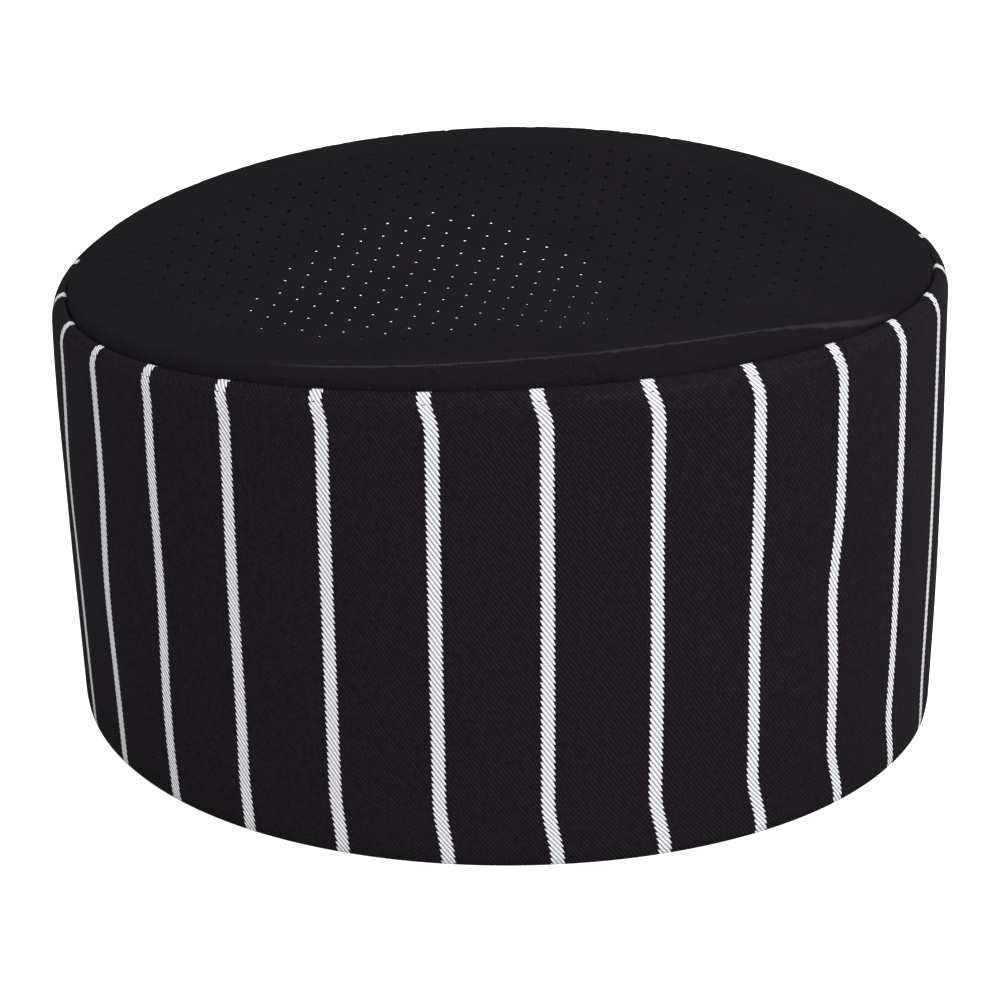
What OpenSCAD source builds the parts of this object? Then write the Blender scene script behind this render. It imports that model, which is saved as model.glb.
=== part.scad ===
// Chef's skull cap: a stiff striped side band, a mesh crown and a hook-and-loop strap
// across an arched opening at the back. Millimetres, +Z up. The origin is the centre of
// the hem, the front of the cap faces -Y and the opening faces +Y.

/* [Band] */
// Outside radius of the band half way up
cap_r = 93; // [75:0.1:115]
// How much smaller the outside radius is at the hem
hem_taper = 2.3; // [0:0.1:5]
// How much larger the outside radius is at the crown seam
top_flare = 1.3; // [0:0.1:4]
// Height of the crown seam above the hem
band_h = 98.4; // [80:0.1:125]
// How far the band's top edge turns in to the crown seam
curl = 3.2; // [2.6:0.1:6]
// Height over which the top edge turns in
curl_h = 5; // [3:0.1:9]
// Thickness of the outer twill
twill_t = 0.6; // [0.4:0.05:1]
// Thickness of the interlining that stiffens the band
interlining_t = 0.5; // [0.3:0.05:1]
// Thickness of the lining
lining_t = 0.5; // [0.3:0.05:0.8]
// Height of the twill's turn-up inside the hem
turnup_h = 14; // [8:0.5:25]

/* [Crown] */
// How high the middle of the crown stands above its seam
crown_puff = 4.6; // [1:0.1:12]
// Thickness of the mesh panel
mesh_t = 0.8; // [0.4:0.05:1.2]
// Depth of the crown's seam allowance inside the band
seam_allowance = 8; // [5:0.5:14]
// Thickness of the tape that is folded over the seam allowance
seam_tape_t = 0.4; // [0.2:0.05:0.8]

/* [Sweatband] */
// Height of the sweatband
sweatband_h = 32; // [22:0.5:42]
// Thickness of the sweatband
sweatband_t = 1.2; // [0.6:0.05:2]
// Height of the sweatband's lower edge above the hem
sweatband_z = 2; // [1:0.5:6]

/* [Back opening] */
// Width of the arched opening
opening_w = 84; // [60:0.5:100]
// Height of the band between the arch's binding and the turned-in edge
above_opening = 7.4; // [4:0.1:12]
// Height from the straps' upper edges to where the arch begins
shoulder_gap = 3.8; // [2:0.1:6]
// Width of the binding round the opening
binding_w = 5; // [3:0.1:8]
// How far the binding stands proud of the band on each side
binding_proud = 0.3; // [0.2:0.05:0.6]
// Length of each bartack
bartack_l = 6; // [4:0.5:10]
// Height of the bartacks above the hem
bartack_z = 20; // [6:0.5:40]

/* [Straps] */
// Width of the two straps
strap_w = 45; // [25:0.5:54]
// Height of the straps' lower edges above the hem
strap_z = 5; // [3:0.5:12]
// Thickness of each strap
strap_t = 1; // [0.6:0.05:1.6]
// How far each strap runs past the middle of the opening
strap_past = 31; // [20:0.5:36]
// Length of the outer strap's sewn end
sewn_end = 12; // [8:0.5:18]
// Thickness of the hook tape and of the loop tape
tape_t = 0.7; // [0.4:0.05:1.2]
// Distance from each tape's long edges to its strap's edges
tape_in = 3.5; // [2:0.1:6]
// Length of the hook tape
hook_l = 36; // [20:0.5:50]
// Length of the loop tape
loop_l = 58; // [30:0.5:64]
// Gap between the closed hook tape and the loop tape
closure_gap = 0.3; // [0.3:0.05:0.8]

/* [Label and thread] */
// Distance of the label from the opening
label_from_opening = 8; // [4:0.5:40]
// Width of the blank size label
label_w = 30; // [15:0.5:45]
// Height of the blank size label
label_h = 22; // [12:0.5:30]
// Thickness of the label
label_t = 0.25; // [0.15:0.05:0.5]
// Width of a row of thread
thread_w = 0.5; // [0.3:0.05:0.9]
// How far a row of thread stands proud
thread_t = 0.25; // [0.15:0.05:0.4]
// Distance from a row of thread to the edge that it follows
stitch_in = 2; // [1:0.1:4]

/* [Hidden] */
$fn = 96;

wall_step = 8;               // longest straight piece in the outline of the band's side
curl_steps = 6;              // straight pieces in its turned-in edge
stitch_face = 2;             // the one of these, counted from the side, that carries a row of thread
crown_steps = 10;            // straight pieces from the crown's middle to its seam
seat = 0.02;                 // rows of thread and patches are this clear of what they lie on
root_gap = 1.2;              // the swinging strap ends this far from its sewn end
far = 300;                   // longer than any cut needs

// Depths are measured inwards from the outer face of the band.
lining_in = twill_t + interlining_t + lining_t;
turnup_in = lining_in + twill_t;
sweatband_in = turnup_in + sweatband_t;
curl_z = band_h - curl_h;
seam_r = wall_r(curl_z) - curl;

// The arch rises from its shoulders, just above the straps, on one radius.
strap_top = strap_z + strap_w;
opening_top = curl_z - above_opening - binding_w;
arch_h = opening_top - strap_top - shoulder_gap;
arch_r = (pow(opening_w / 2, 2) + pow(arch_h, 2)) / (2 * arch_h);

// The stack at the closure, outwards from the inner strap.
inner_strap_out = twill_t;
inner_strap_in = inner_strap_out + strap_t;
loop_out = inner_strap_out - tape_t;
hook_in = loop_out - closure_gap;
outer_strap_in = min(hook_in - tape_t, -binding_proud - thread_t - closure_gap);
outer_strap_out = outer_strap_in - strap_t;
tape_z = strap_z + tape_in;
tape_top = strap_top - tape_in;

// Angles are measured from +Y, positive towards +X.
edge_a = asin(opening_w / 2 / cap_r);
root_a = asin((opening_w + binding_w) / 2 / cap_r);
past_a = arc_angle(strap_past);
root_gap_a = arc_angle(root_gap);
sewn_end_a = root_a + root_gap_a + arc_angle(sewn_end);
tape_end_a = past_a - arc_angle(stitch_in);
hook_a = arc_angle(hook_l) - tape_end_a;
loop_a = tape_end_a - arc_angle(loop_l);
sweatband_end_a = asin((opening_w / 2 + binding_w) / (cap_r - sweatband_in)) + 1;
stitch_a = arc_angle(stitch_in);
label_a = sweatband_end_a + arc_angle(label_from_opening);
label_end_a = label_a + arc_angle(label_w);
label_z = curl_z - seam_allowance - label_h;
label_out = lining_in + seat;

twill = "#201c22";
mesh_black = "#1b191d";
white = "#e9e7e8";
thread_black = "#2c282e";

function arc_angle(length) = length / cap_r * 180 / PI;

// Outside radius of the band at a height: a parabola through the hem, the middle and the top.
function wall_r(z) =
    let (u = z / band_h)
    cap_r - hem_taper * (1 - u) * (1 - 2 * u) + top_flare * u * (2 * u - 1);

// Outline of the wall at a depth, from height z0 up to height z1.
function side(depth, z0, z1) =
    let (n = ceil((z1 - z0) / wall_step))
    [for (i = [0 : n]) let (z = z0 + (z1 - z0) * i / n) [wall_r(z) - depth, z]];

// Outline of the turned-in edge at a depth, from the side to the crown seam.
function turned_edge(depth) =
    [for (i = [1 : curl_steps]) let (t = 90 * i / curl_steps)
        [seam_r + (curl - depth) * cos(t), curl_z + (curl_h - depth) * sin(t)]];

function reverse(points) = [for (i = [len(points) - 1 : -1 : 0]) points[i]];

// A layer of the band, from height z0 to the crown seam, between two depths.
module full_layer(outer, inner, z0) {
    rotate_extrude()
        polygon(concat(
            side(outer, z0, curl_z), turned_edge(outer),
            reverse(concat(side(inner, z0, curl_z), turned_edge(inner)))
        ));
}

// A patch that follows the wall: between two depths, two heights and two angles.
module patch(outer, inner, z0, z1, a0, a1) {
    rotate([0, 0, 90 - a1])
        rotate_extrude(angle = a1 - a0)
            polygon(concat(side(outer, z0, z1), reverse(side(inner, z0, z1))));
}

// A level row of thread on a face that looks inwards (face = 1) or outwards (face = -1).
module level_thread(depth, face, z, a0, a1) {
    near = depth + face * seat;
    beyond = near + face * thread_t;
    patch(min(near, beyond), max(near, beyond), z - thread_w / 2, z + thread_w / 2, a0, a1);
}

// A rectangle of thread on such a face.
module thread_frame(depth, face, z0, z1, a0, a1) {
    half_z = thread_w / 2;
    half_a = arc_angle(half_z);
    near = depth + face * seat;
    beyond = near + face * thread_t;
    outer = min(near, beyond);
    inner = max(near, beyond);
    difference() {
        patch(outer, inner, z0 - half_z, z1 + half_z, a0 - half_a, a1 + half_a);
        patch(outer - 1, inner + 1, z0 + half_z, z1 - half_z, a0 + half_a, a1 - half_a);
    }
}

// The arched opening, grown by an amount all round, as a cut through the back of the cap.
module arch(grown) {
    half = opening_w / 2 + grown;
    translate([0, far, 0])
        rotate([90, 0, 0])
            linear_extrude(far)
                intersection() {
                    translate([-half, -far]) square([2 * half, 2 * far]);
                    union() {
                        translate([0, opening_top - arch_r]) circle(arch_r + grown);
                        translate([-half, -far]) square([2 * half, far + opening_top - arch_r]);
                    }
                }
}

module crown_mesh() {
    function dome(s) = band_h + crown_puff * (1 - pow(s, 3));
    top = [for (i = [0 : crown_steps]) let (s = i / crown_steps) [seam_r * s, dome(s)]];
    skirt_z = band_h - lining_in - seam_allowance;
    color(mesh_black)
        rotate_extrude()
            polygon(concat(
                top,
                [[seam_r, skirt_z], [seam_r - mesh_t, skirt_z]],
                [for (i = [crown_steps : -1 : 0]) let (s = i / crown_steps)
                    [(seam_r - mesh_t) * s, dome(s) - mesh_t]]
            ));
}

module crown_seam_tape() {
    inner = seam_r - mesh_t - seat;
    outer = seam_r + seat;
    low = band_h - lining_in - seam_allowance - seat;
    high = band_h - lining_in - stitch_in;
    color(twill)
        rotate_extrude()
            polygon([
                [inner, low], [inner, high], [inner - seam_tape_t, high],
                [inner - seam_tape_t, low - seam_tape_t], [outer + seam_tape_t, low - seam_tape_t],
                [outer + seam_tape_t, high - stitch_in], [outer, high - stitch_in], [outer, low]
            ]);
}

// The row of thread round the outside, on one flat face of the turned-in edge.
module crown_edge_stitch() {
    below = turned_edge(0)[stitch_face - 1];
    above = turned_edge(0)[stitch_face];
    up = (above - below) / norm(above - below);
    out = [up[1], -up[0]];
    near = (below + above) / 2 + seat * out;
    half = thread_w / 2 * up;
    color(thread_black)
        rotate_extrude()
            polygon([near - half, near + half, near + half + thread_t * out, near - half + thread_t * out]);
}

module crown_tape_stitch() {
    x = seam_r - mesh_t - 2 * seat - seam_tape_t;
    z = band_h - lining_in - seam_allowance + stitch_in;
    color(thread_black)
        rotate_extrude()
            translate([x - thread_t, z]) square([thread_t, thread_w]);
}

// The twill: outer wall, a fold under the hem and the turn-up inside.
module band_outer() {
    color(twill)
        difference() {
            rotate_extrude()
                polygon(concat(
                    side(0, 0, curl_z), turned_edge(0),
                    reverse(concat(side(twill_t, twill_t, curl_z), turned_edge(twill_t))),
                    side(lining_in, twill_t, turnup_h),
                    reverse(side(turnup_in, 0, turnup_h))
                ));
            arch(binding_w);
        }
}

module band_interlining() {
    color("#4a474b")
        difference() {
            full_layer(twill_t, twill_t + interlining_t, twill_t);
            arch(binding_w);
        }
}

module band_lining() {
    color("#161417")
        difference() {
            full_layer(twill_t + interlining_t, lining_in, twill_t);
            arch(binding_w);
        }
}

module sweatband() {
    color("#131214")
        patch(turnup_in, sweatband_in, sweatband_z, sweatband_z + sweatband_h,
            sweatband_end_a, 360 - sweatband_end_a);
}

module sweatband_stitch_upper() {
    color(thread_black)
        level_thread(sweatband_in, 1, sweatband_z + sweatband_h - stitch_in,
            sweatband_end_a + stitch_a, 360 - sweatband_end_a - stitch_a);
}

module sweatband_stitch_lower() {
    color(thread_black)
        level_thread(sweatband_in, 1, sweatband_z + stitch_in,
            sweatband_end_a + stitch_a, 360 - sweatband_end_a - stitch_a);
}

// The folded tape, which closes the cut edges of all three layers.
module opening_binding() {
    color(twill)
        difference() {
            intersection() {
                patch(-binding_proud, lining_in + binding_proud, 0, curl_z, -sewn_end_a, sewn_end_a);
                arch(binding_w);
            }
            arch(0);
        }
}

module opening_binding_stitch() {
    mid = binding_w - stitch_in / 2;
    color(thread_black)
        difference() {
            intersection() {
                patch(-binding_proud - seat - thread_t, -binding_proud - seat,
                    strap_top + stitch_in, curl_z, -sewn_end_a, sewn_end_a);
                arch(mid + thread_w / 2);
            }
            arch(mid - thread_w / 2);
        }
}

// A dense tack across the binding, low down on one side of the opening.
module bartack(depth, face, a) {
    half = arc_angle(binding_w) / 3;
    near = depth + face * seat;
    beyond = near + face * thread_t;
    color(thread_black)
        patch(min(near, beyond), max(near, beyond), bartack_z, bartack_z + bartack_l,
            a - half, a + half);
}

module bartack_left() {
    bartack(-binding_proud, -1, -root_a);
}

module bartack_right() {
    bartack(lining_in + binding_proud, 1, root_a);
}

// The strap that carries the loop tape butts against the binding's left edge.
module strap_inner() {
    color(twill)
        difference() {
            patch(inner_strap_out, inner_strap_in, strap_z, strap_top, -sewn_end_a, past_a);
            translate([-far - opening_w / 2, 0, -far]) cube([far, far, 2 * far]);
        }
}

module strap_inner_stitch() {
    color(thread_black)
        thread_frame(inner_strap_in, 1, strap_z + stitch_in, strap_top - stitch_in,
            -edge_a + 2 * stitch_a, past_a - stitch_a);
}

module loop_tape() {
    color("#0f0e10")
        patch(loop_out, inner_strap_out - seat, tape_z, tape_top, loop_a, tape_end_a);
}

module loop_tape_stitch() {
    color(thread_black)
        thread_frame(inner_strap_in, 1, tape_z + stitch_in, tape_top - stitch_in,
            loop_a + stitch_a, tape_end_a - stitch_a);
}

module strap_sewn_end() {
    color(twill)
        patch(outer_strap_out, -binding_proud - seat, strap_z, strap_top,
            root_a + root_gap_a, sewn_end_a);
}

module strap_root_stitch() {
    color(thread_black)
        thread_frame(outer_strap_out, -1, strap_z + stitch_in, strap_top - stitch_in,
            root_a + root_gap_a + stitch_a, sewn_end_a - stitch_a);
}

// The strap that swings open about its end at root_a.
module strap_outer() {
    color(twill)
        patch(outer_strap_out, outer_strap_in, strap_z, strap_top, -past_a, root_a);
}

module strap_edge_stitch() {
    color(thread_black)
        thread_frame(outer_strap_out, -1, strap_z + stitch_in, strap_top - stitch_in,
            stitch_a - past_a, root_a - stitch_a);
}

module hook_tape() {
    color("#0f0e10")
        patch(outer_strap_in + seat, hook_in, tape_z, tape_top, -tape_end_a, hook_a);
}

module hook_tape_stitch() {
    color(thread_black)
        thread_frame(outer_strap_out, -1, tape_z + stitch_in, tape_top - stitch_in,
            stitch_a - tape_end_a, hook_a - stitch_a);
}

module size_label() {
    color(white)
        patch(label_out, label_out + label_t, label_z, label_z + label_h, label_a, label_end_a);
}

module size_label_stitch() {
    color("#8f8c8e")
        thread_frame(label_out + label_t, 1, label_z + thread_w, label_z + label_h - thread_w,
            label_a + arc_angle(thread_w), label_end_a - arc_angle(thread_w));
}

crown_mesh();
crown_seam_tape();
crown_edge_stitch();
crown_tape_stitch();
band_outer();
band_interlining();
band_lining();
sweatband();
sweatband_stitch_upper();
sweatband_stitch_lower();
opening_binding();
opening_binding_stitch();
bartack_left();
bartack_right();
strap_inner();
strap_inner_stitch();
loop_tape();
loop_tape_stitch();
strap_sewn_end();
strap_root_stitch();
strap_outer();
strap_edge_stitch();
hook_tape();
hook_tape_stitch();
size_label();
size_label_stitch();
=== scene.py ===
import math

import bmesh
import bpy
import numpy as np
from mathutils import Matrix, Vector


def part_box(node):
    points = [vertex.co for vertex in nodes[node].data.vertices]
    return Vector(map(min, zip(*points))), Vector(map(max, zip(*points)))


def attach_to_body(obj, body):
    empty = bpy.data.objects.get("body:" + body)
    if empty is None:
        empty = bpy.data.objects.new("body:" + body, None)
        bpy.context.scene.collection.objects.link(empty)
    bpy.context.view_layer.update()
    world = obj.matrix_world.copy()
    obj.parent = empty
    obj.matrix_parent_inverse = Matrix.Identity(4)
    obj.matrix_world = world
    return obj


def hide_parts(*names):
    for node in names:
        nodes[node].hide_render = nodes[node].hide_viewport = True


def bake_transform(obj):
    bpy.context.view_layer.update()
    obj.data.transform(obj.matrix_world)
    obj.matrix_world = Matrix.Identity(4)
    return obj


# A chef's skull cap. Each cloth piece is drafted flat, rolled round the head by a node tree,
# and then settled into the soft, uneven shape of a worn cap.
# In a draft, x runs along the band from the middle of the front towards +X, y is the depth
# behind the band's outer face and z is the height above the hem. All lengths are in metres.

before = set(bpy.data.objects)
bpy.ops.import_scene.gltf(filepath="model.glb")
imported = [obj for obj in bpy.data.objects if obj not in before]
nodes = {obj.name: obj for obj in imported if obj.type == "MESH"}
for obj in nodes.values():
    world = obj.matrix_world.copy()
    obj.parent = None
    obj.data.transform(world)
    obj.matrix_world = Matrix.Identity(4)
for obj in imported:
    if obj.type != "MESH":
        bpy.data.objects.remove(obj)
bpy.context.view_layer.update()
mm = 0.001


def meshPoints(mesh):
    points = np.zeros(len(mesh.vertices) * 3)
    mesh.vertices.foreach_get("co", points)
    return points.reshape(-1, 3)


def pointsOf(name):
    return meshPoints(nodes[name].data)


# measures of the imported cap: the band's side is a parabola through its hem, belly and top
bandPoints = pointsOf("band_outer")
bandRadii = np.hypot(bandPoints[:, 0], bandPoints[:, 1])
seamHeight = float(bandPoints[:, 2].max())
turnHeight = float(bandPoints[bandRadii.argmax(), 2])  # where the top edge starts to turn in
hemRadius = float(bandRadii[bandPoints[:, 2] < 0.01 * mm].max())
chordRadii = hemRadius + (bandRadii.max() - hemRadius) * bandPoints[:, 2] / turnHeight
belly = (bandRadii - chordRadii).argmax()
sideHeights = (0, bandPoints[belly, 2], turnHeight)
sideRadii = (hemRadius, bandRadii[belly], bandRadii.max())
sideCurve, sideSlope, hemRadius = (float(c) for c in np.polyfit(sideHeights, sideRadii, 2))


def wallRadius(z):
    return (sideCurve * z + sideSlope) * z + hemRadius


capRadius = float(wallRadius(seamHeight / 2))
halfRound = math.pi * capRadius
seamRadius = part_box("crown_mesh")[1].x


def depthsOf(name, below=math.inf):  # nearest and furthest from the band's outer face
    p = pointsOf(name)
    p = p[p[:, 2] < below]
    depths = wallRadius(p[:, 2]) - np.hypot(p[:, 0], p[:, 1])
    return float(depths.min()), float(depths.max())


def spanOf(name):  # where a piece at the back starts and ends along the band
    p = pointsOf(name)
    along = halfRound - np.arctan2(p[:, 0], p[:, 1]) * capRadius
    return float(along.min()), float(along.max())


def heightsOf(name):
    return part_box(name)[0].z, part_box(name)[1].z


# the opening: straight sides up to its shoulders, then one arc
halfOpening = -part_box("strap_inner")[0].x
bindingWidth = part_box("opening_binding")[1].x - halfOpening
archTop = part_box("opening_binding")[1].z - bindingWidth
bindingPoints = pointsOf("opening_binding")
onEdge = abs(abs(bindingPoints[:, 0]) - halfOpening) < 0.05 * mm
shoulderHeight = float(bindingPoints[onEdge, 2].max())
archRise = archTop - shoulderHeight
archRadius = (halfOpening**2 + archRise**2) / (2 * archRise)
archCentre = archTop - archRadius
twillThickness = depthsOf("band_interlining")[0]
upright = turnHeight - 5 * mm  # below this, the band's layers stand side by side
interliningDepth = depthsOf("band_interlining", upright)[1]
liningDepth = depthsOf("band_lining", upright)[1]
print("frame read: seam", round(seamHeight, 4), "cap radius", round(capRadius, 4))


# how the cap sags and bulges: waves are (how many, how far in mm, where a crest lies in degrees)
settled = {
    "planWaves": [(2, 1.6, 59), (3, 1.6, -18), (4, 0.6, 33.5)],
    "rimWaves": [(0, -0.55, 0), (1, 4.56, 43.7), (2, 3.29, -8.5), (3, 0.6, -67)],
    "ripples": [(5, 0.25, 10), (9, 0.16, 25), (13, 0.1, 4)],
    "lean": (-1.7 * mm, 0.3 * mm),  # how far the crown stands off to one side
    "lift": 0.04 * mm,
    "twist": -0.8 * mm,
    "edgeTwist": -1.8 * mm,  # how far the turned-in edge is eased round
    "sideDrift": 1.6 * mm,
    "hemDrift": 2.3 * mm,
    "hemDriftHeight": 14 * mm,
    "dentAt": (math.radians(36), 47 * mm),
    "dentSize": (9 * mm, 13 * mm),
    "dentDepth": 1.5 * mm,
    "backHalfAngle": math.radians(34),  # the closure keeps its shape within this
    "backFadeAngle": math.radians(92),
    "backFadeHeight": 10 * mm,
}


def smooth(t):
    t = np.clip(t, 0, 1)
    return t * t * (3 - 2 * t)


def waves(rows, angle, share=1.0):  # share is the part of the way from the middle to the rim
    total = 0.0
    for count, size, crest in rows:
        total = total + size * mm * share**count * np.cos(count * (angle - math.radians(crest)))
    return total


def looseness(angle, z):  # 0 at the closure, where the straps hold the cap's shape, and 1 elsewhere
    fromBack = math.pi - abs(angle)
    reach = settled["backFadeAngle"] - settled["backHalfAngle"]
    side = smooth((fromBack - settled["backHalfAngle"]) / reach)
    above = settled["backFadeHeight"]
    low = 1 - smooth((z - above) / (seamHeight - above))
    return 1 - (1 - side) * low


def settle(points):
    x, y, z = np.asarray(points, float).T
    radius = np.hypot(x, y)
    angle = np.arctan2(x, -y)
    share = np.clip(radius / seamRadius, 0, 1)
    height = z / seamHeight
    free = looseness(angle, z)
    front = smooth((math.cos(1.6) - np.cos(angle)) / (math.cos(1.6) - 1))
    drift = settled["hemDrift"] * smooth(1 - z / settled["hemDriftHeight"]) * front
    drift = drift * (1 + 0.8 * np.sin(angle))
    drift += settled["sideDrift"] * (1 - height) * np.clip(np.sin(angle), 0, 1) * front
    edge = smooth((z - turnHeight + 2 * mm) / (seamHeight - turnHeight + 2 * mm))
    edge = edge * (0.35 + 0.65 * front)
    turn = settled["twist"] * (1 - height) + settled["edgeTwist"] * edge + drift
    turn = turn / capRadius * free * share
    dentAngle, dentHeight = settled["dentAt"]
    dentWide, dentTall = settled["dentSize"]
    offX = (angle - dentAngle) * capRadius / dentWide
    offZ = (z - dentHeight) / dentTall
    dent = settled["dentDepth"] * np.exp(-(offX**2) - offZ**2) * (share > 0.9)
    ripple = waves(settled["ripples"], angle + 9 * z) * np.sin(math.pi * np.clip(height, 0, 1))
    plan = waves(settled["planWaves"], angle) * share**2
    grown = radius + (plan + ripple * (share > 0.9)) * free - dent
    lifted = z + waves(settled["rimWaves"], angle, share) * height * free + settled["lift"]
    leanX, leanY = settled["lean"]
    return np.column_stack([
        grown * np.sin(angle + turn) + leanX * height * free,
        -grown * np.cos(angle + turn) + leanY * height * free,
        lifted,
    ])


# small helpers for node trees
def give(tree, socket, value):  # links a value to a socket, or sets it there
    if isinstance(value, bpy.types.NodeSocket):
        tree.links.new(value, socket)
    elif socket.type == "RGBA":
        socket.default_value = (*value, 1)
    else:
        socket.default_value = value


def addNode(tree, kind, inputs=None, **fields):
    made = tree.nodes.new(kind)
    for key, value in fields.items():
        setattr(made, key, value)
    for key, value in (inputs or {}).items():
        give(tree, made.inputs[key], value)
    return made


def calc(tree, operation, *values):
    return addNode(tree, "ShaderNodeMath", dict(enumerate(values)), operation=operation).outputs[0]


def newTree(name, sizes, vectors=(), whole=()):
    tree = bpy.data.node_groups.new(name, "GeometryNodeTree")
    kinds = {"Geometry": "Geometry", "Material": "Material", **dict.fromkeys(sizes, "Float"),
             **dict.fromkeys(vectors, "Vector"), **dict.fromkeys(whole, "Int")}
    tree.interface.new_socket(name="Geometry", in_out="OUTPUT", socket_type="NodeSocketGeometry")
    for label, kind in kinds.items():
        tree.interface.new_socket(name=label, in_out="INPUT", socket_type="NodeSocket" + kind)
    return tree, addNode(tree, "NodeGroupInput").outputs


def endTree(tree, sockets, geometry):
    real = addNode(tree, "GeometryNodeRealizeInstances", {"Geometry": geometry})
    painted = addNode(tree, "GeometryNodeSetMaterial",
                      {"Geometry": real.outputs[0], "Material": sockets["Material"]})
    sink = addNode(tree, "NodeGroupOutput")
    tree.links.new(painted.outputs[0], sink.inputs[0])


def grow(name, mesh, tree, values, material):  # runs a node tree on a mesh and keeps plain mesh
    obj = bpy.data.objects.new(name, mesh)
    bpy.context.scene.collection.objects.link(obj)
    modifier = obj.modifiers.new("grow", "NODES")
    modifier.node_group = tree
    values = {**values, "Material": material}
    for item in tree.interface.items_tree:
        if item.in_out == "INPUT" and item.name in values:
            modifier[item.identifier] = values[item.name]
    bpy.context.view_layer.update()
    grown = bpy.data.meshes.new_from_object(obj.evaluated_get(bpy.context.evaluated_depsgraph_get()))
    obj.modifiers.clear()
    obj.data = grown
    grown.name = name
    return obj


# rolls a flat draft round the head
def makeRollTree():
    sizes = ["Cap radius", "Hem radius", "Side slope", "Side curve", "Join gap"]
    tree, given = newTree("rollRoundHead", sizes)
    place = addNode(tree, "GeometryNodeInputPosition")
    flat = addNode(tree, "ShaderNodeSeparateXYZ", {0: place.outputs[0]}).outputs
    angle = calc(tree, "DIVIDE", flat[0], given["Cap radius"])
    bulge = calc(tree, "MULTIPLY_ADD", flat[2], given["Side curve"], given["Side slope"])
    wall = calc(tree, "MULTIPLY_ADD", flat[2], bulge, given["Hem radius"])
    radius = calc(tree, "SUBTRACT", wall, flat[1])
    x = calc(tree, "MULTIPLY", radius, calc(tree, "SINE", angle))
    y = calc(tree, "MULTIPLY", calc(tree, "MULTIPLY", radius, -1.0), calc(tree, "COSINE", angle))
    spot = addNode(tree, "ShaderNodeCombineXYZ", {0: x, 1: y, 2: flat[2]})
    rolled = addNode(tree, "GeometryNodeSetPosition",
                     {"Geometry": given["Geometry"], "Position": spot.outputs[0]})
    joined = addNode(tree, "GeometryNodeMergeByDistance",
                     {"Geometry": rolled.outputs[0], "Distance": given["Join gap"]})
    endTree(tree, given, joined.outputs[0])
    return tree


rollTree = makeRollTree()
rollSizes = {
    "Cap radius": capRadius, "Hem radius": hemRadius, "Side slope": sideSlope,
    "Side curve": sideCurve, "Join gap": 0.02 * mm,
}


def draftMesh(name, x, depth, z, up, keep=None, inside=False, wrap=False):
    # arrays are [column, row]; wrap closes each column's rows into a loop
    index, along = np.arange(x.size).reshape(x.shape), x
    if wrap:
        index = np.column_stack([index, index[:, 0]])
        up = np.column_stack([up, up[:, -1] + (up[:, -1] - up[:, -2])])
        along = np.column_stack([x, x[:, 0]])
    before, after = slice(None, -1), slice(1, None)
    spots = [(before, before), (after, before), (after, after), (before, after)]
    if inside:
        spots.reverse()
    quads = np.stack([index[s] for s in spots], -1).reshape(-1, 4)
    uvs = np.stack([np.stack([along[s], up[s]], -1) for s in spots], -2).reshape(-1, 4, 2)
    if keep is not None:
        quads, uvs = quads[keep.ravel()], uvs[keep.ravel()]
    points = np.column_stack([x.ravel(), depth.ravel(), z.ravel()])
    used, quads = np.unique(quads, return_inverse=True)
    mesh = bpy.data.meshes.new(name)
    mesh.from_pydata(points[used].tolist(), [], quads.reshape(-1, 4).tolist())
    layer = mesh.uv_layers.new(name="cloth")
    layer.data.foreach_set("uv", uvs.reshape(-1).astype(np.float32))
    mesh.shade_smooth()
    return mesh


def movePoints(mesh, move):
    mesh.vertices.foreach_set("co", move(meshPoints(mesh)).ravel())
    mesh.update()


def mapCloth(mesh, places):  # gives each point of a mesh its place on the cloth
    corners = np.zeros(len(mesh.loops), int)
    mesh.loops.foreach_get("vertex_index", corners)
    layer = mesh.uv_layers.get("cloth") or mesh.uv_layers.new(name="cloth")
    layer.data.foreach_set("uv", places[corners].astype(np.float32).ravel())


def lengthAlong(*path):  # how far each point of a path is from its start
    steps = np.hypot(*(np.diff(side) for side in path))
    return np.concatenate([[0], np.cumsum(steps)])


def spread(columns, rows):  # a draft's two grids
    return np.meshgrid(columns, rows, indexing="ij")


def sew(name, mesh, material):  # rolls a draft round the head and settles it
    obj = grow(name, mesh, rollTree, rollSizes, material)
    movePoints(obj.data, settle)
    return obj


def thicken(obj, thickness, edge=0.0):
    wall = obj.modifiers.new("thickness", "SOLIDIFY")
    wall.thickness = thickness
    wall.offset = -1
    wall.use_quality_normals = True
    if edge:
        bevel = obj.modifiers.new("edge", "BEVEL")
        bevel.width = edge
        bevel.segments = 2
        bevel.angle_limit = math.radians(50)


def attach(obj, body, slotName, *replaced):
    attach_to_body(obj, body)
    if replaced:
        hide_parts(*replaced)


# cloth patterns read the draft's own coordinates, so they follow every fold
def newMaterial(name, color, roughness, specular, sheen=0.0):
    material = bpy.data.materials.new(name)
    material.use_nodes = True
    tree = material.node_tree
    shader = tree.nodes["Principled BSDF"]
    settings = {"Base Color": color, "Roughness": roughness, "Specular IOR Level": specular,
                "Sheen Weight": sheen, "Sheen Roughness": 0.5}
    for key, value in settings.items():
        give(tree, shader.inputs[key], value)
    return material, tree, shader


def clothPlace(tree):
    uv = addNode(tree, "ShaderNodeUVMap", uv_map="cloth")
    parts = addNode(tree, "ShaderNodeSeparateXYZ", {0: uv.outputs[0]})
    return parts.outputs[0], parts.outputs[1]


def noise(tree, scale, detail=2.0):
    place = addNode(tree, "ShaderNodeTexCoord")
    made = addNode(tree, "ShaderNodeTexNoise",
                   {"Vector": place.outputs["Object"], "Scale": scale, "Detail": detail})
    return made.outputs[0]


def wave(tree, value, pitch):  # 0 to 1 and back once every pitch
    turns = calc(tree, "MULTIPLY", value, 2 * math.pi / pitch)
    return calc(tree, "MULTIPLY_ADD", calc(tree, "SINE", turns), 0.5, 0.5)


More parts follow.
